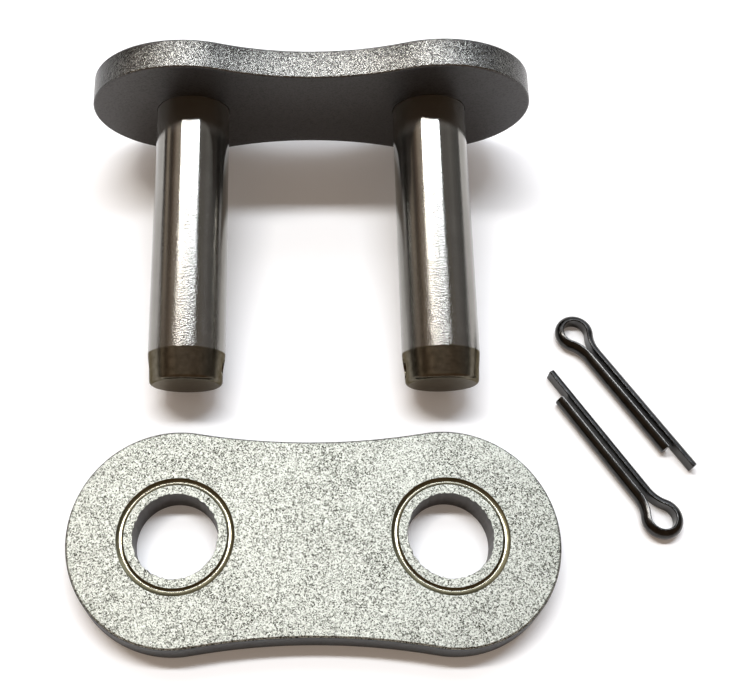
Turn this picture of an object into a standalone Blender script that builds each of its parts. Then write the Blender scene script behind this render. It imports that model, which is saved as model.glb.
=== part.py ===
"""Cottered connecting link of a heavy roller chain, laid out loose as it is unpacked.

Six pieces lie on one flat surface: the pin link, which is a plate with two pins pressed and
riveted into it, its cover plate, and the two cotter pins that keep the cover plate on.
The pin link rests on the lower edge of its plate and on the tips of its pins.
Blender units are metres, +Z is up and +X runs along the plates.
"""

import math

import bmesh
import bpy
from mathutils import Matrix, Vector

MM = 0.001

# Chain sizes
PITCH = 57.15 * MM
PIN_DIAMETER = 17.46 * MM
PLATE_THICKNESS = 7.15 * MM
INNER_LINK_WIDTH = 53.4 * MM

# Clearances between pieces that meet
PRESS_FIT_GAP = 0.3 * MM
COVER_HOLE_CLEARANCE = 0.04 * MM
COTTER_HOLE_CLEARANCE = 0.6 * MM

# Plate outlines: lobe radius, how far the waist dips in, and how far out the lobe centres sit
LINK_LOBE_RADIUS = 23.0 * MM
LINK_WAIST_DIP = 5.75 * MM
LINK_LOBE_OFFSET = 1.2 * MM
COVER_LOBE_RADIUS = 22.8 * MM
COVER_WAIST_DIP = 2.35 * MM
COVER_LOBE_OFFSET = 0.0 * MM
PLATE_EDGE_ROUND = 0.55 * MM
BORE_CHAMFER = 0.3 * MM

# Coined ring round each hole of the cover plate
RING_RADIUS = 11.55 * MM
RING_WIDTH = 1.6 * MM
RING_DEPTH = 0.35 * MM

# Pin ends
TIP_LENGTH = 7.0 * MM
TIP_STEP = 0.55 * MM
TIP_LEAD_LENGTH = 2.6 * MM
TIP_ROUND = 0.9 * MM
HEAD_HEIGHT = 1.3 * MM
HEAD_FLARE = 0.7 * MM
HEAD_DISH_RADIUS = 3.2 * MM
HEAD_DISH_DEPTH = 0.5 * MM

# Cotter pins: half-round wire, bent round an eye
COTTER_WIRE_WIDTH = 3.5 * MM
COTTER_WIRE_CORNER = 0.28 * MM
COTTER_LEG_GAP = 1.0 * MM
COTTER_EYE_RADIUS = 2.65 * MM
COTTER_NECK_RADIUS = 8.0 * MM
COTTER_LONG_LEG = 39.1 * MM
COTTER_SHORT_LEG = 32.9 * MM

# Where the pieces lie, from the centre of the cover plate
PIN_LINK_X = 0.7 * MM
PIN_LINK_Y = 99.4 * MM
UPPER_COTTER_PLACE = Vector((62.1 * MM, 49.1 * MM, 0.0))
UPPER_COTTER_TURN = math.radians(-58.5)
LOWER_COTTER_PLACE = Vector((74.7 * MM, 4.95 * MM, 0.0))
LOWER_COTTER_TURN = math.radians(121.5)

# Facets
LOBE_STEPS = 36
WAIST_STEPS = 10
TURNED_STEPS = 48
RING_SECTION_STEPS = 4
EDGE_STEPS = 2
COTTER_HOLE_STEPS = 20
CUT_ALLOWANCE = 1.0 * MM

PIN_RADIUS = PIN_DIAMETER / 2
PIN_REACH = INNER_LINK_WIDTH + PLATE_THICKNESS + TIP_LENGTH
TIP_RADIUS = PIN_RADIUS - TIP_STEP
LINK_BORE_RADIUS = PIN_RADIUS + PRESS_FIT_GAP
COVER_BORE_RADIUS = PIN_RADIUS + COVER_HOLE_CLEARANCE / 2
COTTER_RADIUS = COTTER_WIRE_WIDTH / 2
COTTER_CLOSED_WIDTH = COTTER_WIRE_WIDTH + COTTER_HOLE_CLEARANCE
COTTER_HOLE_PLACE = PIN_REACH - TIP_LENGTH / 2


def clear_scene():
    """Remove every object, so that the file holds only this part."""
    for obj in list(bpy.data.objects):
        bpy.data.objects.remove(obj, do_unlink=True)


def steel(name, colour, roughness):
    """Return a plain steel material of the given linear colour and roughness."""
    material = bpy.data.materials.new(name)
    material.use_nodes = True
    shader = material.node_tree.nodes["Principled BSDF"]
    shader.inputs["Base Color"].default_value = (*colour, 1.0)
    shader.inputs["Metallic"].default_value = 1.0
    shader.inputs["Roughness"].default_value = roughness
    return material


def add_object(name, bm, material=None):
    """Turn a bmesh into a smooth-shaded object in the scene, with its faces pointing out."""
    bmesh.ops.recalc_face_normals(bm, faces=bm.faces)
    mesh = bpy.data.meshes.new(name)
    bm.to_mesh(mesh)
    bm.free()
    mesh.shade_smooth()
    mesh.set_sharp_from_angle(angle=math.radians(32))
    obj = bpy.data.objects.new(name, mesh)
    bpy.context.collection.objects.link(obj)
    if material is not None:
        mesh.materials.append(material)
    return obj


def add_empty(name):
    """Add an empty that carries pieces which lie together."""
    empty = bpy.data.objects.new(name, None)
    bpy.context.collection.objects.link(empty)
    return empty


def cut(obj, cutter):
    """Subtract a cutter, which stays a hidden wire object beside the piece."""
    cutter.hide_render = True
    cutter.display_type = "WIRE"
    cutter.parent = obj
    modifier = obj.modifiers.new(cutter.name, "BOOLEAN")
    modifier.operation = "DIFFERENCE"
    modifier.solver = "EXACT"
    modifier.object = cutter


def arc(centre, radius, start, end, steps):
    """Return the points of an arc from one angle to another, both ends included."""
    angles = [start + (end - start) * i / steps for i in range(steps + 1)]
    return [Vector((centre.x + radius * math.cos(a), centre.y + radius * math.sin(a))) for a in angles]


def turned(profile, steps, axis="Z"):
    """Spin an open profile of (radius, height) points into a closed body with flat ends."""
    bm = bmesh.new()
    wire = [bm.verts.new((radius, 0.0, height)) for radius, height in profile]
    edges = [bm.edges.new(pair) for pair in zip(wire, wire[1:])]
    bmesh.ops.spin(bm, geom=wire + edges, cent=(0, 0, 0), axis=(0, 0, 1), angle=math.tau,
                   steps=steps, use_merge=True)
    bmesh.ops.holes_fill(bm, edges=bm.edges, sides=0)
    if axis == "X":
        bmesh.ops.rotate(bm, verts=bm.verts, matrix=Matrix.Rotation(math.pi / 2, 3, "Y"))
    return bm


def turned_ring(section, steps):
    """Spin a closed section of (radius, height) points into a ring."""
    bm = bmesh.new()
    wire = [bm.verts.new((radius, 0.0, height)) for radius, height in section]
    edges = [bm.edges.new(pair) for pair in zip(wire, wire[1:] + wire[:1])]
    bmesh.ops.spin(bm, geom=wire + edges, cent=(0, 0, 0), axis=(0, 0, 1), angle=math.tau,
                   steps=steps, use_merge=True)
    return bm


def plate_outline(lobe_radius, waist_dip, lobe_offset):
    """Return the outline of a side plate: two round lobes joined by hollow waists.

    Each waist is one arc, tangent to both lobes and waist_dip lower than them at mid length.
    """
    reach = PITCH / 2 + lobe_offset
    waist = lobe_radius - waist_dip
    waist_radius = (reach ** 2 + waist ** 2 - lobe_radius ** 2) / (2 * waist_dip)
    rise = waist + waist_radius
    tangent = math.atan2(rise, -reach)
    sweep = math.atan2(reach, rise)
    up, down = math.pi / 2, -math.pi / 2
    points = arc(Vector((reach, 0)), lobe_radius, -tangent, tangent, LOBE_STEPS)
    points += arc(Vector((0, rise)), waist_radius, down + sweep, down - sweep, WAIST_STEPS)[1:-1]
    points += arc(Vector((-reach, 0)), lobe_radius, math.pi - tangent, math.pi + tangent, LOBE_STEPS)
    points += arc(Vector((0, -rise)), waist_radius, up + sweep, up - sweep, WAIST_STEPS)[1:-1]
    return points


def plate_blank(outline):
    """Extrude an outline to plate thickness, from Z 0 upward, and round both of its edges."""
    bm = bmesh.new()
    face = bm.faces.new([bm.verts.new((p.x, p.y, 0.0)) for p in outline])
    lifted = bmesh.ops.extrude_face_region(bm, geom=[face], use_keep_orig=True)["geom"]
    top = [v for v in lifted if isinstance(v, bmesh.types.BMVert)]
    bmesh.ops.translate(bm, verts=top, vec=(0, 0, PLATE_THICKNESS))
    flat = [f for f in bm.faces if len(f.verts) == len(outline)]
    rims = list({edge for f in flat for edge in f.edges})
    bmesh.ops.bevel(bm, geom=rims, offset=PLATE_EDGE_ROUND, offset_type="OFFSET",
                    segments=EDGE_STEPS, profile=0.5, affect="EDGES")
    return bm


def bore_cutter(name, radius):
    """Return a cutter for a hole through a plate, with a small chamfer at both mouths."""
    wide = radius + BORE_CHAMFER + CUT_ALLOWANCE
    beyond = PLATE_THICKNESS + CUT_ALLOWANCE
    profile = [(wide, -CUT_ALLOWANCE), (radius, BORE_CHAMFER),
               (radius, PLATE_THICKNESS - BORE_CHAMFER), (wide, beyond)]
    return add_object(name, turned(profile, TURNED_STEPS))


def ring_cutter(name):
    """Return a cutter for the coined ring: a shallow round-bottomed groove in the top face."""
    half = RING_WIDTH / 2
    radius = (half ** 2 + RING_DEPTH ** 2) / (2 * RING_DEPTH)
    centre = Vector((RING_RADIUS, PLATE_THICKNESS - RING_DEPTH + radius))
    swing = math.asin(half / radius)
    bottom = arc(centre, radius, -math.pi / 2 - swing, -math.pi / 2 + swing, RING_SECTION_STEPS)
    above = PLATE_THICKNESS + CUT_ALLOWANCE
    section = [(p.x, p.y) for p in bottom]
    section += [(RING_RADIUS + half, above), (RING_RADIUS - half, above)]
    return add_object(name, turned_ring(section, TURNED_STEPS))


def build_cover_plate(material):
    """Build the loose cover plate, lying on its back with its coined rings upward."""
    outline = plate_outline(COVER_LOBE_RADIUS, COVER_WAIST_DIP, COVER_LOBE_OFFSET)
    plate = add_object("cover_plate", plate_blank(outline), material)
    for side, place in (("left", -PITCH / 2), ("right", PITCH / 2)):
        for cutter in (bore_cutter(f"cover_{side}_bore", COVER_BORE_RADIUS),
                       ring_cutter(f"cover_{side}_ring")):
            cutter.location.x = place
            cut(plate, cutter)
    return plate


def build_link_plate(material):
    """Build the plate that carries the pins; its inner face is at Z 0 and faces +Z."""
    outline = plate_outline(LINK_LOBE_RADIUS, LINK_WAIST_DIP, LINK_LOBE_OFFSET)
    plate = add_object("link_plate", plate_blank(outline), material)
    plate.location.z = -PLATE_THICKNESS
    for side, place in (("left", -PITCH / 2), ("right", PITCH / 2)):
        cutter = bore_cutter(f"link_{side}_bore", LINK_BORE_RADIUS)
        cutter.location.x = place
        cut(plate, cutter)
    return plate


def pin_profile():
    """Return a pin's profile from its riveted head, behind the plate, to its tip."""
    back = -PLATE_THICKNESS - PRESS_FIT_GAP
    flare = PIN_RADIUS + HEAD_FLARE + PRESS_FIT_GAP
    end = back - HEAD_HEIGHT
    ground_end = PIN_REACH - TIP_LENGTH
    tip_centre = Vector((TIP_RADIUS - TIP_ROUND, PIN_REACH - TIP_ROUND))
    head = [(HEAD_DISH_RADIUS * 0.6, end + HEAD_DISH_DEPTH), (HEAD_DISH_RADIUS, end),
            (PIN_RADIUS - HEAD_FLARE, end), (flare - HEAD_FLARE / 3, end + HEAD_HEIGHT / 3),
            (flare, back - HEAD_HEIGHT / 4), (flare, back), (PIN_RADIUS, back)]
    lead = [(PIN_RADIUS, ground_end - TIP_LEAD_LENGTH),
            (PIN_RADIUS - TIP_STEP * 0.7, ground_end - TIP_LEAD_LENGTH / 4), (TIP_RADIUS, ground_end)]
    tip = [(p.x, p.y) for p in arc(tip_centre, TIP_ROUND, 0.0, math.pi / 2, EDGE_STEPS + 1)]
    return head + lead + tip


def build_pin(name, place, material):
    """Build one pin along +Z, cross-drilled along X for its cotter pin."""
    pin = add_object(name, turned(pin_profile(), TURNED_STEPS), material)
    pin.location.x = place
    reach = PIN_RADIUS + CUT_ALLOWANCE
    hole = [(COTTER_CLOSED_WIDTH / 2, -reach), (COTTER_CLOSED_WIDTH / 2, reach)]
    drill = add_object(f"{name}_cotter_hole", turned(hole, COTTER_HOLE_STEPS, axis="X"))
    drill.location.z = COTTER_HOLE_PLACE
    cut(pin, drill)
    return pin


def resting_tilt():
    """Return how far the pins dip when the link stands on its plate's edge and its pin tips.

    The rounded edge of the plate and the rounded rim of the tips are two circles in the side
    view, and the ground is the line that touches both from below.
    """
    edge = Vector((-PLATE_EDGE_ROUND, -LINK_LOBE_RADIUS + PLATE_EDGE_ROUND))
    rim = Vector((PIN_REACH - TIP_ROUND, -TIP_RADIUS + TIP_ROUND))
    apart = rim - edge
    return math.atan2(apart.y, apart.x) - math.asin((TIP_ROUND - PLATE_EDGE_ROUND) / apart.length)


def build_pin_link(plate_steel, pin_steel):
    """Build the plate and its two pins on one empty, and stand them as they come to rest."""
    carrier = add_empty("pin_link")
    pieces = [build_link_plate(plate_steel),
              build_pin("left_pin", -PITCH / 2, pin_steel),
              build_pin("right_pin", PITCH / 2, pin_steel)]
    for piece in pieces:
        piece.parent = carrier
    tilt = resting_tilt()
    height = ((LINK_LOBE_RADIUS - PLATE_EDGE_ROUND) * math.cos(tilt)
              - PLATE_EDGE_ROUND * math.sin(tilt) + PLATE_EDGE_ROUND)
    carrier.rotation_euler = (math.pi / 2 + tilt, 0.0, 0.0)
    carrier.location = (PIN_LINK_X, PIN_LINK_Y, height)
    return carrier


def wire_section():
    """Return the half-round wire section as (outward, upward) points, its flat at outward 0."""
    radius, corner = COTTER_RADIUS, COTTER_WIRE_CORNER
    top = arc(Vector((corner, radius - corner)), corner, math.pi, math.pi / 2, 2)
    bow = arc(Vector((0, 0)), radius, math.pi / 2, -math.pi / 2, 10)[1:-1]
    low = arc(Vector((corner, corner - radius)), corner, -math.pi / 2, -math.pi, 2)
    return top + bow + low


def cotter_path():
    """Return the inner line of the wire as (point, outward direction) pairs, tip to tip.

    The wire runs back along the long leg, opens through a neck, goes round the eye, and comes
    back through a second neck along the short leg. The eye's centre is the origin.
    """
    half = COTTER_LEG_GAP / 2
    eye, neck = COTTER_EYE_RADIUS, COTTER_NECK_RADIUS
    neck_x = math.sqrt((eye + neck) ** 2 - (half + neck) ** 2)
    lean = math.atan2(half + neck, neck_x)
    upper = Vector((neck_x, half + neck))
    lower = Vector((neck_x, -half - neck))
    down, up = -math.pi / 2, math.pi / 2
    path = [(Vector((COTTER_LONG_LEG, half)), Vector((0, 1)))]
    path += [(p, (upper - p).normalized()) for p in arc(upper, neck, down, lean - math.pi, 7)]
    path += [(p, p.normalized()) for p in arc(Vector((0, 0)), eye, lean, math.tau - lean, 22)[1:-1]]
    path += [(p, (lower - p).normalized()) for p in arc(lower, neck, math.pi - lean, up, 7)]
    path += [(Vector((COTTER_SHORT_LEG, -half)), Vector((0, -1)))]
    return path


def build_cotter(name, place, turn, flipped, material):
    """Sweep the half-round wire along its path, and lay the cotter pin on the ground."""
    bm = bmesh.new()
    rings = []
    for point, outward in cotter_path():
        flat = [point + outward * q.x for q in wire_section()]
        heights = [q.y + COTTER_RADIUS for q in wire_section()]
        side = -1.0 if flipped else 1.0
        rings.append([bm.verts.new((p.x, side * p.y, h)) for p, h in zip(flat, heights)])
    for ring, following in zip(rings, rings[1:]):
        for i in range(len(ring)):
            bm.faces.new((ring[i - 1], ring[i], following[i], following[i - 1]))
    bm.faces.new(rings[0])
    bm.faces.new(rings[-1])
    cotter = add_object(name, bm, material)
    cotter.location = place
    cotter.rotation_euler.z = turn
    return cotter


def centre_on_ground(layout):
    """Move the layout so that the origin is the middle of its box, at ground level."""
    bpy.context.view_layer.update()
    corners = [obj.matrix_world @ Vector(corner)
               for obj in layout.children_recursive
               if obj.type == "MESH" and not obj.hide_render
               for corner in vertices_of(obj)]
    for axis in (0, 1):
        values = [corner[axis] for corner in corners]
        layout.location[axis] -= (min(values) + max(values)) / 2
    layout.location.z -= min(corner.z for corner in corners)


def vertices_of(obj):
    """Return the places of a mesh object's vertices in its own frame."""
    return [vertex.co.copy() for vertex in obj.data.vertices]


def main():
    """Build the pieces and lay them out."""
    clear_scene()
    plate_steel = steel("blasted_plate_steel", (0.42, 0.41, 0.39), 0.55)
    pin_steel = steel("ground_pin_steel", (0.50, 0.48, 0.44), 0.22)
    cotter_steel = steel("blackened_cotter_steel", (0.05, 0.05, 0.05), 0.35)
    layout = add_empty("layout")
    pieces = [build_cover_plate(plate_steel),
              build_pin_link(plate_steel, pin_steel),
              build_cotter("upper_cotter", UPPER_COTTER_PLACE, UPPER_COTTER_TURN, False, cotter_steel),
              build_cotter("lower_cotter", LOWER_COTTER_PLACE, LOWER_COTTER_TURN, True, cotter_steel)]
    for piece in pieces:
        piece.parent = layout
    centre_on_ground(layout)


if __name__ == "__main__":
    main()
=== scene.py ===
"""Looks of a cottered connecting link of a heavy roller chain, laid out loose on white card.

Fine pieces stand for the six CAD nodes, each at the CAD's place and size. Their finishes are
procedural and read Object coordinates. Sizes are in millimetres unless a name says otherwise.
"""

from __future__ import annotations

import logging
import math
import random
from dataclasses import dataclass, field
from enum import Enum

import bmesh
import bpy
from mathutils import Matrix, Vector

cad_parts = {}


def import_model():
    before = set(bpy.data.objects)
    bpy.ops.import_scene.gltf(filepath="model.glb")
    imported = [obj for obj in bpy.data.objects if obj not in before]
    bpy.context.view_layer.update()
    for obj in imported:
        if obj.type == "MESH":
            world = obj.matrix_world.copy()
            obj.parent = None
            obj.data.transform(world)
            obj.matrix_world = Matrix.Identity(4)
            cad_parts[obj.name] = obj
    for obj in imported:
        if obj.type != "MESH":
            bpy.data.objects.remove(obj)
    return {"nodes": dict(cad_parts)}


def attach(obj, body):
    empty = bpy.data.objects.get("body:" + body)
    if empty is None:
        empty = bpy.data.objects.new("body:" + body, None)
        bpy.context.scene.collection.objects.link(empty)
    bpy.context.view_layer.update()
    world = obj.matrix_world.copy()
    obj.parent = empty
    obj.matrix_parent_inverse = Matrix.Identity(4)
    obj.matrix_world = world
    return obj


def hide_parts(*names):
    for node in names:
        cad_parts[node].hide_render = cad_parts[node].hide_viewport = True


MM = 0.001
BODY = "root"
LOG = logging.getLogger("connecting_link")

# Where the centre of the cover plate lies in the layout
LAYOUT_SHIFT = Vector((-16.1866, -44.2086, 0.0))
PITCH = 57.15
PLATE_THICKNESS = 7.15
PIN_RADIUS = 8.73
PIN_REACH = 67.55
TIP_LENGTH = 7.0
# The middle of the link plate's inner face, and how far below level the pins point
PIN_LINK_CENTRE = Vector((-15.4866, 55.1914, 22.3554))
PIN_LINK_TILT = math.radians(12.42986)

BORE_STEPS = 128
# Points nearer than SAME are one. The last weld, over a whole piece, is finer.
SAME = 0.001
LAST_WELD = 0.0004
# How far from a level or a rim a face or vertex still counts as on it
MARGIN = 0.01
# A face is level where its unit normal points at least this much up or down
LEVEL_NORMAL = 0.999
SHARP_ANGLE = math.radians(35)


class Side(Enum):
    """Which of the two lobes, bores or pins a thing belongs to."""

    LEFT = -1
    RIGHT = 1

    @property
    def x(self) -> float:
        """Place along the plate, from its middle."""
        return self.value * PITCH / 2


def linear(code: str) -> tuple[float, float, float, float]:
    """Turn an sRGB hex colour into the linear colour that a socket takes.

    Args:
        code: The colour as #rrggbb.

    Returns:
        Red, green, blue and an alpha of 1.
    """
    shares = [int(code[i : i + 2], 16) / 255 for i in (1, 3, 5)]
    red, green, blue = (s / 12.92 if s <= 0.04045 else ((s + 0.055) / 1.055) ** 2.4 for s in shares)
    return red, green, blue, 1.0


def per_mm(size: float) -> float:
    """Return the texture scale that gives a feature of the given size in millimetres."""
    return 1.0 / (size * MM)


def add_node(tree: bpy.types.NodeTree, kind: str, settings: dict | None = None,
             links: dict | None = None) -> bpy.types.Node:
    """Add one node with its settings and links.

    Args:
        tree: The node tree that gets it.
        kind: Blender's name for the kind of node.
        settings: Values by property name, or by input name or number. "stops" fills a ramp.
        links: Output sockets by the name or number of the input that they feed.

    Returns:
        The new node.
    """
    node = tree.nodes.new(kind)
    for key, value in (settings or {}).items():
        if key == "stops":
            elements = node.color_ramp.elements
            while len(elements) < len(value):
                elements.new(1.0)
            for element, (place, colour) in zip(elements, value):
                element.position, element.color = place, colour
        elif isinstance(key, str) and hasattr(node, key):
            setattr(node, key, value)
        else:
            node.inputs[key].default_value = value
    for key, output in (links or {}).items():
        tree.links.new(output, node.inputs[key])
    return node


def new_material(name: str) -> tuple[bpy.types.Material, bpy.types.NodeTree, bpy.types.Node]:
    """Start a material.

    Args:
        name: The finish's name.

    Returns:
        The material, its node tree and its Principled shader.
    """
    material = bpy.data.materials.new(name)
    material.use_nodes = True
    tree = material.node_tree
    return material, tree, tree.nodes["Principled BSDF"]


def place_on_pin_link(tree: bpy.types.NodeTree, place: bpy.types.NodeSocket) -> bpy.types.Node:
    """Turn Object coordinates into millimetres on the pin link, from the middle of its inner face.

    Args:
        tree: The finish's node tree.
        place: Its Object coordinates.

    Returns:
        The node whose outputs are X, along the plate, and Z, along the pins.
    """
    along = add_node(tree, "ShaderNodeMapping",
                     {"vector_type": "TEXTURE", "Location": PIN_LINK_CENTRE * MM,
                      "Rotation": (math.pi / 2 + PIN_LINK_TILT, 0, 0), "Scale": (MM, MM, MM)},
                     {"Vector": place})
    return add_node(tree, "ShaderNodeSeparateXYZ", {}, {0: along.outputs[0]})


def seen_rays(tree: bpy.types.NodeTree) -> bpy.types.NodeSocket:
    """Tell the rays that show a surface from those that it lights.

    Args:
        tree: The node tree of the card or the room.

    Returns:
        The output that is 1 for camera, glossy and transmission rays, and 0 for all others.
    """
    rays = add_node(tree, "ShaderNodeLightPath").outputs
    metal = add_node(tree, "ShaderNodeMath", {"operation": "MAXIMUM"},
                     {0: rays["Is Glossy Ray"], 1: rays["Is Transmission Ray"]})
    seen = add_node(tree, "ShaderNodeMath", {"operation": "MAXIMUM"},
                    {0: rays["Is Camera Ray"], 1: metal.outputs[0]})
    return seen.outputs[0]


@dataclass(frozen=True)
class Steel:
    """A steel finish: a tone picks between its two shades, and a relief breaks its gloss."""

    name: str
    light: str
    dark: str
    roughness: float

    def dress(self, tree: bpy.types.NodeTree, shader: bpy.types.Node, tone: bpy.types.NodeSocket,
              relief: bpy.types.NodeSocket, depth: float, span: tuple = (0.3, 0.7)) -> bpy.types.Node:
        """Give the shader its shades, its gloss and its relief.

        Args:
            tree: The finish's node tree.
            shader: Its Principled shader.
            tone: The output that picks the shade.
            relief: The output that drives the bump.
            depth: How deep the relief is.
            span: The tones that give the full dark and the full light shade.

        Returns:
            The bump node.
        """
        colour = add_node(tree, "ShaderNodeValToRGB",
                          {"stops": [(span[0], linear(self.dark)), (span[1], linear(self.light))]},
                          {"Fac": tone})
        bump = add_node(tree, "ShaderNodeBump", {"Strength": 1.0, "Distance": depth * MM},
                        {"Height": relief})
        shader.inputs["Metallic"].default_value = 1.0
        shader.inputs["Roughness"].default_value = self.roughness
        tree.links.new(colour.outputs["Color"], shader.inputs["Base Color"])
        tree.links.new(bump.outputs["Normal"], shader.inputs["Normal"])
        return bump


@dataclass(frozen=True)
class BlastedSteel(Steel):
    """Shot-blasted carbon steel: a matt skin of tiny dents that glitter white, grey and olive.

    Real dents are 0.1 to 0.3 mm wide. They are drawn at the upper end of that or a little above
    it, so that they show. Wide clouds of tone lie over them.
    """

    grain: float
    dent_depth: float
    span: tuple = (0.08, 0.75)
    cloud: float = 9.0
    cloud_share: float = 0.35

    def tone(self, tree: bpy.types.NodeTree, place: bpy.types.NodeSocket) -> bpy.types.NodeSocket:
        """Add clouds to a tone for each dent.

        Args:
            tree: The finish's node tree.
            place: Its Object coordinates.

        Returns:
            The output that picks the shade.
        """
        shards = add_node(tree, "ShaderNodeTexVoronoi",
                          {"feature": "F1", "Scale": per_mm(self.grain)}, {"Vector": place})
        clouds = add_node(tree, "ShaderNodeTexNoise",
                          {"Scale": per_mm(self.cloud), "Detail": 2.0}, {"Vector": place})
        speck = add_node(tree, "ShaderNodeSeparateColor", {}, {"Color": shards.outputs["Color"]})
        return add_node(tree, "ShaderNodeMath", {"operation": "MULTIPLY_ADD", 1: self.cloud_share},
                        {0: clouds.outputs["Fac"], 2: speck.outputs["Red"]}).outputs[0]

    def material(self) -> bpy.types.Material:
        """Return the finish as a material."""
        material, tree, shader = new_material(self.name)
        place = add_node(tree, "ShaderNodeTexCoord").outputs["Object"]
        dents = add_node(tree, "ShaderNodeTexNoise",
                         {"Scale": per_mm(self.grain * 2), "Detail": 3.0, "Roughness": 0.75},
                         {"Vector": place})
        self.dress(tree, shader, self.tone(tree, place), dents.outputs["Fac"], self.dent_depth, self.span)
        return material


@dataclass(frozen=True)
class ShearedSteel(BlastedSteel):
    """The link plate's edge, sheared and then blasted, with painted shade at its rear and round its ends.
    """

    # The shares of the tone left under the painted shade at the rear face and at the ends
    painted_rear_shade: float = 0.5
    painted_end_shade: float = 0.15
    # The heights, and the distances from the link's middle, between which the painted shade fades in
    rear: tuple = (-PLATE_THICKNESS, -2.8)
    ends: tuple = (40.0, 49.0)

    def tone(self, tree: bpy.types.NodeTree, place: bpy.types.NodeSocket) -> bpy.types.NodeSocket:
        """Paint shade into the blasted tone towards the rear and the ends.

        Args:
            tree: The finish's node tree.
            place: Its Object coordinates.

        Returns:
            The output that picks the shade.
        """
        spot = place_on_pin_link(tree, place)
        reach = add_node(tree, "ShaderNodeMath", {"operation": "ABSOLUTE"}, {0: spot.outputs["X"]})
        rear = add_node(tree, "ShaderNodeMapRange",
                        {"From Min": self.rear[0], "From Max": self.rear[1],
                         "To Min": self.painted_rear_shade, "To Max": 1.0},
                        {"Value": spot.outputs["Z"]})
        ends = add_node(tree, "ShaderNodeMapRange",
                        {"From Min": self.ends[0], "From Max": self.ends[1],
                         "To Min": 1.0, "To Max": self.painted_end_shade},
                        {"Value": reach.outputs[0]})
        left = add_node(tree, "ShaderNodeMath", {"operation": "MULTIPLY"},
                        {0: rear.outputs[0], 1: ends.outputs[0]})
        return add_node(tree, "ShaderNodeMath", {"operation": "MULTIPLY"},
                        {0: super().tone(tree, place), 1: left.outputs[0]}).outputs[0]


@dataclass(frozen=True)
class SmoothSteel(Steel):
    """Steel with an even skin, such as a burnished groove, a drilled wall or an oxide coat.

    The shade drifts a little over some millimetres, and a fine bump breaks the reflections. The
    rim is the tint of the light that glances off the skin, darker where a coat dulls it.
    """

    drift: float = 3.0
    bump_size: float = 0.4
    bump_depth: float = 0.004
    rim: str = "#ffffff"

    def material(self) -> bpy.types.Material:
        """Return the finish as a material."""
        material, tree, shader = new_material(self.name)
        place = add_node(tree, "ShaderNodeTexCoord").outputs["Object"]
        clouds = add_node(tree, "ShaderNodeTexNoise",
                          {"Scale": per_mm(self.drift), "Detail": 4.0, "Roughness": 0.6}, {"Vector": place})
        fine = add_node(tree, "ShaderNodeTexNoise",
                        {"Scale": per_mm(self.bump_size), "Detail": 2.0}, {"Vector": place})
        self.dress(tree, shader, clouds.outputs["Fac"], fine.outputs["Fac"], self.bump_depth)
        shader.inputs["Specular Tint"].default_value = linear(self.rim)
        return material


@dataclass(frozen=True)
class GroundSteel(Steel):
    """Centreless-ground alloy steel: bright, with marks round the pin that draw light along it.

    Real marks are some 0.02 mm apart. They are drawn ten times as coarse, so that they show, and
    are deeper towards the tip, where the pin has been driven through plates. Next to the link
    plate the skin is less metallic, a duller band that is a painted reflection of the room.
    """

    mark_pitch: float
    mark_length: float
    mark_depth: float
    cloud: float = 6.0
    # The heights on the pin between which the marks deepen, and the share at the lower one
    worn: tuple = (8.0, 56.0)
    least_wear: float = 0.15
    # The heights over which the painted reflection band next to the link plate fades out, and how metallic
    # the skin is in the band and beyond it
    reflection_band: tuple = (7.0, 9.5)
    band_metal: float = 0.74
    clear_metal: float = 0.95

    def material(self) -> bpy.types.Material:
        """Return the finish as a material."""
        material, tree, shader = new_material(self.name)
        place = add_node(tree, "ShaderNodeTexCoord").outputs["Object"]
        long, fine = self.mark_length * MM, self.mark_pitch * MM
        round_pin = add_node(tree, "ShaderNodeMapping",
                             {"vector_type": "TEXTURE", "Rotation": (math.pi / 2 + PIN_LINK_TILT, 0, 0),
                              "Scale": (long, long, fine)}, {"Vector": place})
        marks = add_node(tree, "ShaderNodeTexNoise", {"Scale": 1.0, "Detail": 2.0},
                         {"Vector": round_pin.outputs[0]})
        clouds = add_node(tree, "ShaderNodeTexNoise",
                          {"Scale": per_mm(self.cloud), "Detail": 3.0}, {"Vector": place})
        bump = self.dress(tree, shader, clouds.outputs["Fac"], marks.outputs["Fac"], self.mark_depth)
        height = place_on_pin_link(tree, place).outputs["Z"]
        wear = add_node(tree, "ShaderNodeMapRange",
                        {"From Min": self.worn[0], "From Max": self.worn[1],
                         "To Min": self.least_wear, "To Max": 1.0},
                        {"Value": height})
        # Less metallic next to the link plate: a painted reflection of the room
        metal = add_node(tree, "ShaderNodeMapRange",
                         {"From Min": self.reflection_band[0], "From Max": self.reflection_band[1],
                          "To Min": self.band_metal, "To Max": self.clear_metal},
                         {"Value": height})
        tree.links.new(wear.outputs[0], bump.inputs["Strength"])
        tree.links.new(metal.outputs[0], shader.inputs["Metallic"])
        return material


# Blasted flat: matt as a whole, but a close sparkle of white, grey and olive specks
COVER_FACE = BlastedSteel("blasted_steel_cover_face", "#9e9f96", "#1a180f", 0.42, 0.23, 0.1, (0.15, 0.95))
# Blasted lightly: an even dark grey with hardly a speck in it, the grey darkened as painted shade
LINK_FACE = BlastedSteel("blasted_steel_link_face", "#4f4d4c", "#3e3c3b", 0.46, 0.3, 0.015)
# Sheared, then blasted: bright facets between dark pits, strongest where the edge faces the lamp, with
# painted shade at the rear and the ends
LINK_EDGE = ShearedSteel("sheared_and_blasted_steel_edge", "#787773", "#1a1916", 0.25, 0.28, 0.16)
# Sheared and hardly blasted: a dull band round the cover plate, darkened as painted shade
COVER_EDGE = BlastedSteel("sheared_steel_edge", "#4a4c4d", "#383a3b", 0.5, 0.4, 0.03)
# Punched: a dull brown-grey wall without sparkle, darkened as painted shade inside the bore
BORE_WALL = SmoothSteel("punched_steel_bore_wall", "#4f4c49", "#3e3b39", 0.45)
# Burnished by the punch: a floor so smooth that it shows as a thin bright line
COINED_RING = SmoothSteel("coined_steel_ring", "#8b8676", "#777261", 0.12)
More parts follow.
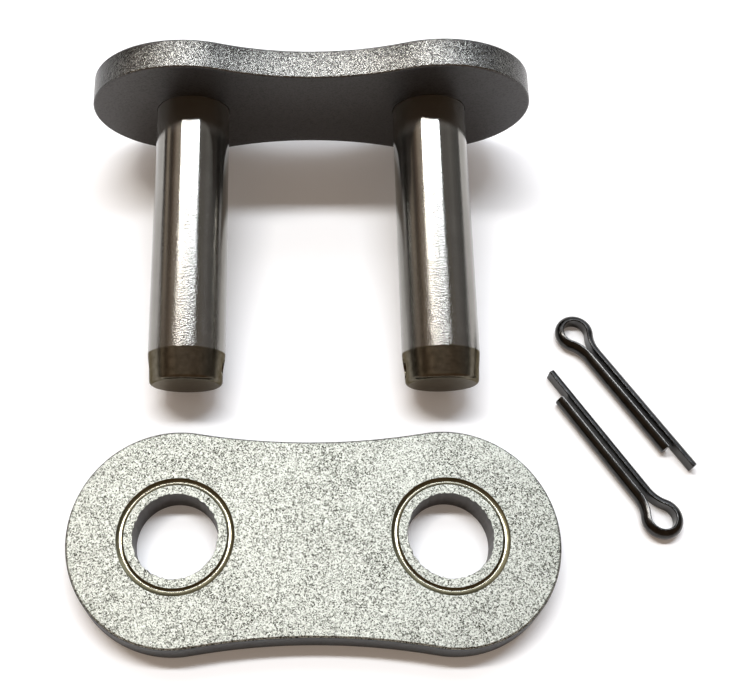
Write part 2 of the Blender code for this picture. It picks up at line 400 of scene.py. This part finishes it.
# The groove's sides: darker olive-brown lines beside the bright one
RING_WALL = SmoothSteel("coined_steel_ring_wall", "#67624d", "#524e3c", 0.3)
# Ground: almost a mirror across the pin, with the lamp's stripe frayed into streaks
GROUND_PIN = GroundSteel("ground_alloy_steel_pin", "#86847f", "#7e7c77", 0.085, 0.19, 0.4, 0.058)
# Turned and left with its brown hardening skin: a satin brown band
BROWN_TIP = SmoothSteel("turned_brown_steel_tip", "#6b665b", "#504b40", 0.24, 1.2, 0.3, 0.006,
                        rim="#b4b0a8")
# Faced off through the same skin: a flat brown-grey disc
FACED_END = SmoothSteel("faced_steel_pin_end", "#58534a", "#454239", 0.3, 1.2, 0.3, 0.006, rim="#e8e4dc")
# Hammered over by the riveting: pale, with soft shallow dents
PEENED_HEAD = SmoothSteel("peened_steel_head", "#a09c94", "#817d76", 0.35, 2.0, 0.8, 0.02)
# Black oxide on drawn wire: nearly black, with a thin satin line of light along it
BLACK_OXIDE = SmoothSteel("black_oxide_steel_wire", "#444341", "#302f2e", 0.2, 2.0, 0.5, 0.01)


def keep(name: str, bm: bmesh.types.BMesh, finishes: list[Steel], node: str) -> None:
    """Turn a bmesh into a finished piece that stands for a CAD node.

    Args:
        name: The piece's name.
        bm: Its shape in the row frame. It is freed here.
        finishes: The finishes, in the order of the faces' material numbers.
        node: The CAD node that the piece stands for.
    """
    bmesh.ops.remove_doubles(bm, verts=bm.verts, dist=LAST_WELD)
    bmesh.ops.recalc_face_normals(bm, faces=bm.faces)
    bmesh.ops.scale(bm, verts=bm.verts, vec=(MM, MM, MM))
    mesh = bpy.data.meshes.new(name)
    bm.to_mesh(mesh)
    bm.free()
    mesh.shade_smooth()
    mesh.set_sharp_from_angle(angle=SHARP_ANGLE)
    for finish in finishes:
        mesh.materials.append(finish.material())
    piece = bpy.data.objects.new(name, mesh)
    bpy.context.collection.objects.link(piece)
    normals = piece.modifiers.new("flat_faces_stay_flat", "WEIGHTED_NORMAL")
    normals.keep_sharp = True
    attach(piece, BODY)
    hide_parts(node)
    LOG.info("%s: %d faces", name, len(mesh.polygons))


def spin_profile(bm: bmesh.types.BMesh, profile: list, x: float, steps: int = BORE_STEPS) -> None:
    """Turn an open profile about the upright axis at the given x.

    Args:
        bm: The shape that gets the turned faces.
        profile: (radius, height) pairs.
        x: The axis's place along the plate.
        steps: Facets round the axis.
    """
    wire = [bm.verts.new((x + radius, 0.0, height)) for radius, height in profile]
    edges = [bm.edges.new(pair) for pair in zip(wire, wire[1:])]
    bmesh.ops.spin(bm, geom=wire + edges, cent=(x, 0, 0), axis=(0, 0, 1), angle=math.tau,
                   steps=steps, use_merge=True)


def round_corner(centre: tuple, radius: float, start: float, end: float, steps: int) -> list:
    """Return the (radius, height) points of a rounded corner of a profile.

    Args:
        centre: The middle of the round.
        radius: Its radius.
        start: First angle in degrees, from outward, turning up.
        end: Last angle in degrees.
        steps: Facets in the round.

    Returns:
        The points, both ends included.
    """
    angles = [math.radians(start + (end - start) * i / steps) for i in range(steps + 1)]
    return [(centre[0] + radius * math.cos(a), centre[1] + radius * math.sin(a)) for a in angles]


class Part(Enum):
    """Material numbers of a side plate's faces."""

    FACE = 0
    EDGE = 1
    BORE = 2
    RING = 3
    RING_WALL = 4


@dataclass
class SidePlate:
    """A dog-bone plate with a bore in each lobe, lying from height 0 to its thickness.

    A plate with a ring radius has a coined ring round each bore, on its top face. The ring's
    floor is a shallow arc, a little nearer to the bore than the middle of the ring.
    """

    lobe_radius: float
    waist_dip: float
    lobe_offset: float
    bore_radius: float
    bore_chamfer: float
    edge_round: float = 0.55
    ring_radius: float = 0.0
    ring_width: float = 1.6
    ring_depth: float = 0.35
    ring_lip: float = 0.04
    floor_shift: float = -0.16
    floor_curve: float = 1.2
    floor_reach: float = 0.23
    torn_edge: float = 0.0
    lobe_steps: int = 110
    waist_steps: int = 40
    round_steps: int = 5
    # Shares of the rounded edge that still counts as face, and of the chamfer that counts as bore
    rim_share: float = 0.35
    chamfer_share: float = 0.6

    def outline(self, bm: bmesh.types.BMesh) -> list:
        """Run one vertex round both lobes and both waists.

        Args:
            bm: An empty bmesh.

        Returns:
            The closed loop's edges.
        """
        reach = PITCH / 2 + self.lobe_offset
        waist = self.lobe_radius - self.waist_dip
        waist_radius = (reach**2 + waist**2 - self.lobe_radius**2) / (2 * self.waist_dip)
        rise = waist + waist_radius
        tangent, sweep = math.atan2(rise, -reach), math.atan2(reach, rise)
        start = Vector((reach, 0, 0)) + Matrix.Rotation(-tangent, 3, "Z") @ Vector((self.lobe_radius, 0, 0))
        last = bm.verts.new(start)
        for centre, angle, steps in (((reach, 0, 0), 2 * tangent, self.lobe_steps),
                                     ((0, rise, 0), -2 * sweep, self.waist_steps),
                                     ((-reach, 0, 0), 2 * tangent, self.lobe_steps),
                                     ((0, -rise, 0), -2 * sweep, self.waist_steps)):
            spun = bmesh.ops.spin(bm, geom=[last], cent=centre, axis=(0, 0, 1), angle=angle, steps=steps)
            last = next(item for item in spun["geom_last"] if isinstance(item, bmesh.types.BMVert))
        bmesh.ops.remove_doubles(bm, verts=bm.verts, dist=SAME)
        return list(bm.edges)

    def blank(self) -> bmesh.types.BMesh:
        """Return the blanked plate without its bores, open on both faces, its edges rounded."""
        bm = bmesh.new()
        bmesh.ops.edgeloop_fill(bm, edges=self.outline(bm))
        lifted = bmesh.ops.extrude_face_region(bm, geom=list(bm.faces), use_keep_orig=True)["geom"]
        top = [item for item in lifted if isinstance(item, bmesh.types.BMVert)]
        bmesh.ops.translate(bm, verts=top, vec=(0, 0, PLATE_THICKNESS))
        flat = [face for face in bm.faces if len(face.verts) > 4]
        rims = list({edge for face in flat for edge in face.edges})
        bmesh.ops.bevel(bm, geom=rims, offset=self.edge_round, offset_type="OFFSET",
                        segments=self.round_steps, profile=0.5, affect="EDGES", material=-1)
        flat = [face for face in bm.faces if len(face.verts) > 4]
        bmesh.ops.delete(bm, geom=flat, context="FACES_ONLY")
        return bm

    def bore_profile(self) -> list:
        """Return the turned profile of a bore, from the low face up to the top face."""
        chamfer, top = self.bore_chamfer, PLATE_THICKNESS
        profile = [(self.bore_radius + chamfer, 0.0)]
        profile += round_corner((self.bore_radius + chamfer, chamfer), chamfer, 240, 180, 3)
        profile += round_corner((self.bore_radius + chamfer, top - chamfer), chamfer, 180, 90, 5)
        if self.ring_radius:
            inner, outer = self.ring_radius - self.ring_width / 2, self.ring_radius + self.ring_width / 2
            lip, curve = self.ring_lip, self.floor_curve
            middle = (self.ring_radius + self.floor_shift, top - self.ring_depth + curve)
            profile += [(inner, top), (inner + lip, top - lip)]
            profile += round_corner(middle, curve, 260, 280, 8)
            profile += [(outer - lip, top - lip), (outer, top)]
        return profile

    def body(self) -> bmesh.types.BMesh:
        """Return the whole plate, closed, with its faces' material numbers set."""
        bm = self.blank()
        for side in Side:
            spin_profile(bm, self.bore_profile(), side.x)
            self.tear(bm, side)
        for height in (0.0, PLATE_THICKNESS):
            rims = [edge for edge in bm.edges if edge.is_boundary
                    and all(abs(vertex.co.z - height) < SAME for vertex in edge.verts)]
            bmesh.ops.triangle_fill(bm, edges=rims, use_beauty=True, use_dissolve=False)
        for face in bm.faces:
            face.material_index = self.part_of(face).value
        return bm

    def tear(self, bm: bmesh.types.BMesh, side: Side) -> None:
        """Make the upper edge of a punched bore uneven, each column of its wall by its own amount.

        Args:
            bm: The plate.
            side: Whose bore it is.
        """
        dice = random.Random(side.value)
        tears = [dice.uniform(0.0, self.torn_edge) for _ in range(BORE_STEPS)]
        axis, reach = Vector((side.x, 0, 0)), self.bore_radius + self.bore_chamfer + MARGIN
        for vertex in bm.verts:
            arm = Vector((vertex.co.x, vertex.co.y, 0)) - axis
            if vertex.co.z > PLATE_THICKNESS - self.bore_chamfer - SAME and arm.length < reach:
                column = round(math.atan2(arm.y, arm.x) / math.tau * BORE_STEPS) % BORE_STEPS
                vertex.co += arm.normalized() * tears[column]

    def part_of(self, face: bmesh.types.BMFace) -> Part:
        """Say which part of the plate a face belongs to.

        Args:
            face: A face of the plate, in the plate's own frame.

        Returns:
            The part.
        """
        middle = face.calc_center_median()
        from_bore = min(math.hypot(middle.x - side.x, middle.y) for side in Side)
        level = abs(face.normal.z) > LEVEL_NORMAL
        if from_bore < self.bore_radius + self.bore_chamfer * self.chamfer_share + self.torn_edge:
            return Part.BORE
        if not level and self.ring_radius and from_bore < self.ring_radius + self.ring_width:
            if from_bore < self.ring_radius - self.ring_width:
                return Part.FACE
            on_floor = abs(from_bore - self.ring_radius - self.floor_shift) < self.floor_reach
            return Part.RING if on_floor else Part.RING_WALL
        at_rim = min(abs(middle.z), abs(PLATE_THICKNESS - middle.z)) < self.edge_round * self.rim_share
        return Part.FACE if level or at_rim else Part.EDGE


@dataclass
class CoverPlate:
    """The loose outer plate, on its back, with a coined ring round each hole."""

    plate: SidePlate = field(default_factory=lambda: SidePlate(22.8, 2.35, 0.0, 8.75, 0.08,
                                                               ring_radius=11.55, torn_edge=0.27))
    centre: Vector = field(default_factory=lambda: LAYOUT_SHIFT.copy())

    def build(self) -> None:
        """Build and dress the cover plate."""
        bm = self.plate.body()
        bmesh.ops.translate(bm, verts=bm.verts, vec=self.centre)
        keep("cover_plate_skin", bm, [COVER_FACE, COVER_EDGE, BORE_WALL, COINED_RING, RING_WALL],
             "cover_plate")


@dataclass
class Pin:
    """A pin, riveted behind the link plate, ground along its body, with an unground tip."""

    side: Side
    node: str
    tip_step: float = 0.55
    tip_round: float = 0.9
    press_gap: float = 0.3
    head_height: float = 1.3
    head_flare: float = 0.7
    head_land: float = 0.3
    head_round: float = 1.0
    dish_radius: float = 3.2
    dish_floor_share: float = 0.6
    dish_depth: float = 0.5
    # The small edge where the grinding stops
    shoulder_length: float = 0.12
    shoulder_step: float = 0.02
    # The cotter pin's hole. From mouth_depth below the skin it widens, to mouth_radius at drill_reach.
    cotter_hole: float = 4.1
    hole_from_end: float = 3.5
    mouth_radius: float = 4.0
    mouth_depth: float = 0.95
    drill_reach: float = 12.0
    turned_steps: int = 160
    hole_steps: int = 48

    def profile(self) -> list:
        """Return the pin's (radius, height) profile, from the dished head to the tip's end."""
        back = -PLATE_THICKNESS - self.press_gap
        end = back - self.head_height
        flare = PIN_RADIUS + self.head_flare + self.press_gap
        shoulder = PIN_REACH - TIP_LENGTH
        tip_radius = PIN_RADIUS - self.tip_step
        floor = self.dish_radius * self.dish_floor_share
        head = [(0.0, end + self.dish_depth), (floor, end + self.dish_depth),
                (self.dish_radius, end), (PIN_RADIUS - self.head_flare, end)]
        head += round_corner((flare - self.head_round, back - self.head_land), self.head_round, -85, 0, 7)
        head += [(flare, back), (PIN_RADIUS, back)]
        lead = [(PIN_RADIUS, shoulder - self.shoulder_length), (PIN_RADIUS - self.shoulder_step, shoulder)]
        tip = round_corner((tip_radius - self.tip_round, PIN_REACH - self.tip_round), self.tip_round,
                           0, 90, 8)
        return head + lead + tip + [(0.0, PIN_REACH)]

    def drill(self, bm: bmesh.types.BMesh) -> None:
        """Drill the cotter pin's hole across the tip, its mouths lightly countersunk.

        Args:
            bm: The solid pin in the link's own frame, which the drilled one replaces.
        """
        drill = bmesh.new()
        hole, mouth = self.cotter_hole / 2, PIN_RADIUS - self.mouth_depth
        outline = [(0.0, -self.drill_reach), (self.mouth_radius, -self.drill_reach), (hole, -mouth),
                   (hole, mouth), (self.mouth_radius, self.drill_reach), (0.0, self.drill_reach)]
        spin_profile(drill, outline, 0.0, self.hole_steps)
        across = Matrix.Translation((self.side.x, 0, PIN_REACH - self.hole_from_end))
        bmesh.ops.transform(drill, matrix=across @ Matrix.Rotation(math.pi / 2, 4, "Y"),
                            verts=drill.verts)
        solids = []
        for name, shape in (("undrilled_pin", bm), ("drill", drill)):
            bmesh.ops.remove_doubles(shape, verts=shape.verts, dist=SAME)
            bmesh.ops.recalc_face_normals(shape, faces=shape.faces)
            mesh = bpy.data.meshes.new(name)
            shape.to_mesh(mesh)
            solids.append(bpy.data.objects.new(name, mesh))
            bpy.context.collection.objects.link(solids[-1])
        drill.free()
        cut = solids[0].modifiers.new("drill", "BOOLEAN")
        cut.operation, cut.solver, cut.object = "DIFFERENCE", "EXACT", solids[1]
        cut_pin = solids[0].evaluated_get(bpy.context.evaluated_depsgraph_get())
        drilled = bpy.data.meshes.new_from_object(cut_pin)
        bm.clear()
        bm.from_mesh(drilled)
        for solid in solids:
            bpy.data.meshes.remove(solid.data)
        bpy.data.meshes.remove(drilled)

    def build(self, place: Matrix) -> None:
        """Build and dress the pin.

        Args:
            place: Takes the pin link's own frame to the row frame.
        """
        bm = bmesh.new()
        spin_profile(bm, self.profile(), self.side.x, self.turned_steps)
        bmesh.ops.remove_doubles(bm, verts=bm.verts, dist=SAME)
        self.drill(bm)
        finishes = [PEENED_HEAD, GROUND_PIN, BROWN_TIP, FACED_END]
        # Where each finish gives way to the next
        levels = (-PLATE_THICKNESS, PIN_REACH - TIP_LENGTH, PIN_REACH - MARGIN)
        for face in bm.faces:
            height = face.calc_center_median().z
            face.material_index = sum(height > level for level in levels)
        bmesh.ops.transform(bm, matrix=place, verts=bm.verts)
        keep(f"{self.node}_skin", bm, finishes, self.node)


@dataclass
class PinLink:
    """The link plate with its two pins, leaning on its edge and on the pins' tips.

    The bores close to 0.03 mm from the pins, because a press fit shows no gap.
    """

    plate: SidePlate = field(default_factory=lambda: SidePlate(23.0, 5.75, 1.2, 8.76, 0.12))
    pins: tuple = (Pin(Side.LEFT, "left_pin"), Pin(Side.RIGHT, "right_pin"))

    @property
    def place(self) -> Matrix:
        """The link's own frame, inner face at height 0 and pins upward, in the row frame."""
        return Matrix.Translation(PIN_LINK_CENTRE) @ Matrix.Rotation(math.pi / 2 + PIN_LINK_TILT, 4, "X")

    def build(self) -> None:
        """Build and dress the plate and both pins."""
        bm = self.plate.body()
        bmesh.ops.transform(bm, matrix=self.place @ Matrix.Translation((0, 0, -PLATE_THICKNESS)),
                            verts=bm.verts)
        keep("link_plate_skin", bm, [LINK_FACE, LINK_EDGE, BORE_WALL], "link_plate")
        for pin in self.pins:
            pin.build(self.place)


@dataclass
class CotterPin:
    """A split pin: half-round wire bent round an eye, one leg longer than the other.

    The legs are measured from the middle of the eye.
    """

    node: str
    eye_place: Vector
    turn: float
    flipped: bool
    wire_radius: float = 1.75
    wire_corner: float = 0.34
    half_gap: float = 0.5
    eye_radius: float = 2.65
    neck_radius: float = 8.0
    long_leg: float = 39.1
    short_leg: float = 32.9
    wire_steps: int = 48
    corner_steps: int = 4
    neck_steps: int = 14
    eye_steps: int = 48

    def section(self, bm: bmesh.types.BMesh) -> bmesh.types.BMFace:
        """Cut a disc in half and round its two corners, at the long leg's end.

        Args:
            bm: An empty bmesh.

        Returns:
            The wire's section, which faces along the leg.
        """
        bmesh.ops.create_circle(bm, cap_ends=True, segments=self.wire_steps, radius=self.wire_radius)
        bmesh.ops.bisect_plane(bm, geom=list(bm.verts) + list(bm.edges) + list(bm.faces),
                               plane_co=(0, 0, 0), plane_no=(0, 1, 0), clear_inner=True)
        corners = [vertex for vertex in bm.verts if abs(vertex.co.y) < SAME]
        bmesh.ops.bevel(bm, geom=corners, offset=self.wire_corner, segments=self.corner_steps,
                        profile=0.5, affect="VERTICES", material=-1)
        turn = Matrix.Rotation(math.pi / 2, 4, "Y")
        bmesh.ops.transform(bm, matrix=Matrix.Translation((self.long_leg, self.half_gap, 0)) @ turn,
                            verts=bm.verts)
        return bm.faces[:][0]

    def push(self, bm: bmesh.types.BMesh, face: bmesh.types.BMFace, run: float) -> bmesh.types.BMFace:
        """Extrude the wire along the leg.

        Args:
            bm: The wire so far.
            face: Its end face.
            run: How far the end moves along the leg.

        Returns:
            The new end face.
        """
        grown = bmesh.ops.extrude_face_region(bm, geom=[face])["geom"]
        moved = [item for item in grown if isinstance(item, bmesh.types.BMVert)]
        bmesh.ops.translate(bm, verts=moved, vec=(run, 0, 0))
        return next(item for item in grown if isinstance(item, bmesh.types.BMFace))

    def bend(self, bm: bmesh.types.BMesh, face: bmesh.types.BMFace, centre: tuple, angle: float,
             steps: int) -> bmesh.types.BMFace:
        """Bend the wire round a centre.

        Args:
            bm: The wire so far.
            face: Its end face.
            centre: The middle of the bend, in the plane of the cotter pin.
            angle: How far it bends, in radians.
            steps: Facets along the bend.

        Returns:
            The new end face.
        """
        geom = [face, *face.edges, *face.verts]
        spun = bmesh.ops.spin(bm, geom=geom, cent=(*centre, 0), axis=(0, 0, 1), angle=angle, steps=steps)
        return next(item for item in spun["geom_last"] if isinstance(item, bmesh.types.BMFace))

    def build(self) -> None:
        """Bend, place and dress the cotter pin."""
        bm = bmesh.new()
        face = self.section(bm)
        offset = self.half_gap + self.neck_radius
        neck_x = math.sqrt((self.eye_radius + self.neck_radius) ** 2 - offset**2)
        lean = math.atan2(offset, neck_x)
        face = self.push(bm, face, neck_x - self.long_leg)
        face = self.bend(bm, face, (neck_x, offset), lean - math.pi / 2, self.neck_steps)
        face = self.bend(bm, face, (0, 0), math.tau - 2 * lean, self.eye_steps)
        face = self.bend(bm, face, (neck_x, -offset), lean - math.pi / 2, self.neck_steps)
        self.push(bm, face, self.short_leg - neck_x)
        flip = Matrix.Diagonal((1, -1 if self.flipped else 1, 1, 1))
        lift = Vector((0, 0, self.wire_radius))
        place = Matrix.Translation(self.eye_place + LAYOUT_SHIFT + lift)
        place = place @ Matrix.Rotation(self.turn, 4, "Z")
        bmesh.ops.transform(bm, matrix=place @ flip, verts=bm.verts)
        keep(f"{self.node}_skin", bm, [BLACK_OXIDE], self.node)


@dataclass(frozen=True)
class SoftBox:
    """A flat rectangle of light above the link, from its low corner to its high one."""

    name: str
    low: tuple
    high: tuple
    radiance: float
    colour: str
    height: float = 2000.0

    def hang(self) -> None:
        """Add the lamp, its power worked out from its size and the radiance that it shows."""
        wide, deep = (self.high[0] - self.low[0]) * MM, (self.high[1] - self.low[1]) * MM
        lamp = bpy.data.lights.new(self.name, "AREA")
        lamp.shape, lamp.size, lamp.size_y = "RECTANGLE", wide, deep
        lamp.energy = self.radiance * math.pi * wide * deep
        lamp.color = linear(self.colour)[:3]
        obj = bpy.data.objects.new(self.name, lamp)
        obj.location = ((self.low[0] + self.high[0]) / 2 * MM, (self.low[1] + self.high[1]) / 2 * MM,
                        self.height * MM)
        obj.visible_camera = False
        bpy.context.collection.objects.link(obj)


@dataclass
class Studio:
    """White card, overhead lamps, a dim warm room and the camera of the photograph."""

    # In metres: the card's width, and how far out its own glow starts and stops growing
    card_width: float = 6.0
    glow_reach: tuple = (0.15, 3.0)
    glow: tuple = (0.09, 0.8)
    # How far the card lies below the pieces, so that no two faces coincide
    card_drop: float = 0.02
    lamps: tuple = (
        SoftBox("key_panel_left", (-1080, 459), (-630, 674), 41.0, "#fffcf8"),
        SoftBox("key_panel_middle", (-630, 459), (73, 674), 36.0, "#fbfcff"),
        SoftBox("key_panel_right", (73, 459), (775, 674), 31.0, "#eff6ff"),
        SoftBox("rear_panel", (-1700, 1100), (1300, 2600), 2.3, "#f2f6ff"),
        SoftBox("right_panel", (1300, 1750), (3300, 3300), 2.8, "#dfebff"),
    )
    # The room's colours across it, by degrees from straight up, negative to the left
    stripes: tuple = (
        (-180, "#e8e8e8"), (-96, "#5c5048"), (-80, "#4a4038"), (-74, "#d8c8b6"), (-69, "#d8c8b6"),
        (-63, "#5f5248"), (-56, "#5f5248"), (-50, "#8f7c69"), (-42, "#e4d0be"), (-33, "#f4e4d4"),
        (-27, "#7c7468"), (20, "#6c665e"), (28, "#96938f"), (38, "#8c8985"), (52, "#a09e9b"),
        (62, "#8a8886"), (76, "#7a7978"), (100, "#757473"), (180, "#e8e8e8"),
    )
    # By depth, from 0 behind the camera to 1 beyond the link: where the stripes show, and what
    # is added to them, a brown wall behind the camera and a pale one at the far end
    far_half: tuple = ((0.0, "#000000"), (0.42, "#000000"), (0.5, "#ffffff"))
    walls: tuple = ((0.0, "#90765d"), (0.42, "#90765d"), (0.5, "#000000"), (0.7, "#000000"),
                    (0.78, "#aab0b8"), (0.9, "#aab0b8"), (1.0, "#8a8f94"))
    # The heights, on a sphere of radius 1, between which the white of the card fades out
    horizon: tuple = (0.02, 0.05)
    camera_place: Vector = field(default_factory=lambda: Vector((-20.7457, -113.1291, 234.09)))
    # In degrees
    camera_turn: tuple = (32.3768, 0.2505, -0.0904)
    sensor_width: float = 36.0
    lens: float = 53.664
    # As shares of the sensor's width
    shift: tuple = (0.1126, -0.1627)
    # In metres
    clip: tuple = (0.01, 20.0)

    def card(self) -> None:
        """Lay the white card. The camera and the metal see it lifted to white, shadows kept."""
        bm = bmesh.new()
        bmesh.ops.create_grid(bm, x_segments=1, y_segments=1, size=self.card_width / 2)
        bmesh.ops.translate(bm, verts=bm.verts, vec=(0, 0, -self.card_drop * MM))
        mesh = bpy.data.meshes.new("white_card")
        bm.to_mesh(mesh)
        bm.free()
        material, tree, shader = new_material("matt_white_card")
        place = add_node(tree, "ShaderNodeTexCoord").outputs["Object"]
        away = add_node(tree, "ShaderNodeVectorMath", {"operation": "LENGTH"}, {0: place})
        fade = add_node(tree, "ShaderNodeMapRange",
                        {"From Min": self.glow_reach[0], "From Max": self.glow_reach[1],
                         "To Min": self.glow[0], "To Max": self.glow[1]},
                        {"Value": away.outputs["Value"]})
        lift = add_node(tree, "ShaderNodeMath", {"operation": "MULTIPLY"},
                        {0: seen_rays(tree), 1: fade.outputs[0]})
        shader.inputs["Base Color"].default_value = linear("#f6f6f6")
        shader.inputs["Roughness"].default_value = 0.9
        shader.inputs["Specular IOR Level"].default_value = 0.1
        shader.inputs["Emission Color"].default_value = linear("#ffffff")
        tree.links.new(lift.outputs[0], shader.inputs["Emission Strength"])
        mesh.materials.append(material)
        card = bpy.data.objects.new("white_card", mesh)
        bpy.context.collection.objects.link(card)

    def room_colour(self, tree: bpy.types.NodeTree,
                    axes: bpy.types.bpy_prop_collection) -> bpy.types.NodeSocket:
        """Paint the stripes and the walls of the room.

        Args:
            tree: The world's node tree.
            axes: The outputs with the X, Y and Z of the way that a ray goes.

        Returns:
            The output with the room's colour.
        """
        sideways = add_node(tree, "ShaderNodeMath", {"operation": "ARCTAN2"}, {0: axes["X"], 1: axes["Z"]})
        share = add_node(tree, "ShaderNodeMapRange", {"From Min": -math.pi, "From Max": math.pi},
                         {"Value": sideways.outputs[0]})
        depth = add_node(tree, "ShaderNodeMapRange", {"From Min": -1.0, "From Max": 1.0},
                         {"Value": axes["Y"]})
        across = add_node(tree, "ShaderNodeValToRGB",
                          {"stops": [((angle + 180) / 360, linear(code)) for angle, code in self.stripes]},
                          {"Fac": share.outputs[0]})
        mask = add_node(tree, "ShaderNodeValToRGB",
                        {"stops": [(stop, linear(code)) for stop, code in self.far_half]},
                        {"Fac": depth.outputs[0]})
        walls = add_node(tree, "ShaderNodeValToRGB",
                         {"stops": [(stop, linear(code)) for stop, code in self.walls]},
                         {"Fac": depth.outputs[0]})
        far = add_node(tree, "ShaderNodeMix", {"data_type": "RGBA", "blend_type": "MULTIPLY", 0: 1.0},
                       {6: across.outputs[0], 7: mask.outputs[0]})
        both = add_node(tree, "ShaderNodeMix", {"data_type": "RGBA", "blend_type": "ADD", 0: 1.0},
                        {6: far.outputs[2], 7: walls.outputs[0]})
        return both.outputs[2]

    def room(self) -> None:
        """Set up the room that the metal reflects, and the white that the card fades into."""
        world = bpy.data.worlds.new("dim_warm_room")
        bpy.context.scene.world = world
        world.use_nodes = True
        tree = world.node_tree
        way = add_node(tree, "ShaderNodeTexCoord").outputs["Generated"]
        axes = add_node(tree, "ShaderNodeSeparateXYZ", {}, {0: way}).outputs
        low = add_node(tree, "ShaderNodeMapRange",
                       {"From Min": self.horizon[0], "From Max": self.horizon[1],
                        "To Min": 1.0, "To Max": 0.0},
                       {"Value": axes["Z"]})
        pale = add_node(tree, "ShaderNodeMath", {"operation": "MULTIPLY"},
                        {0: seen_rays(tree), 1: low.outputs[0]})
        sky = add_node(tree, "ShaderNodeMix", {"data_type": "RGBA", 7: linear("#ffffff")},
                       {0: pale.outputs[0], 6: self.room_colour(tree, axes)})
        tree.links.new(sky.outputs[2], tree.nodes["Background"].inputs["Color"])

    def camera(self) -> None:
        """Set up the camera that was fitted to the photograph."""
        data = bpy.data.cameras.new("photo_camera")
        data.sensor_width, data.lens = self.sensor_width, self.lens
        data.shift_x, data.shift_y = self.shift
        data.clip_start, data.clip_end = self.clip
        camera = bpy.data.objects.new("photo_camera", data)
        camera.location = self.camera_place * MM
        camera.rotation_euler = [math.radians(angle) for angle in self.camera_turn]
        bpy.context.collection.objects.link(camera)
        bpy.context.scene.camera = camera

    def build(self) -> None:
        """Set up the whole studio."""
        self.card()
        self.room()
        self.camera()
        for lamp in self.lamps:
            lamp.hang()
        bpy.context.scene.view_settings.view_transform = "Standard"
        LOG.info("studio: %d lamps", len(self.lamps))


def main() -> None:
    """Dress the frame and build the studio."""
    logging.basicConfig(level=logging.INFO, format="%(name)s: %(message)s")
    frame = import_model()
    LOG.info("frame: %d nodes", len(frame["nodes"]))
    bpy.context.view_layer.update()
    CoverPlate().build()
    PinLink().build()
    CotterPin("upper_cotter", Vector((62.1, 49.1, 0.0)), math.radians(-58.5), flipped=False).build()
    CotterPin("lower_cotter", Vector((74.7, 4.95, 0.0)), math.radians(121.5), flipped=True).build()
    Studio().build()


if __name__ == "__main__":
    main()
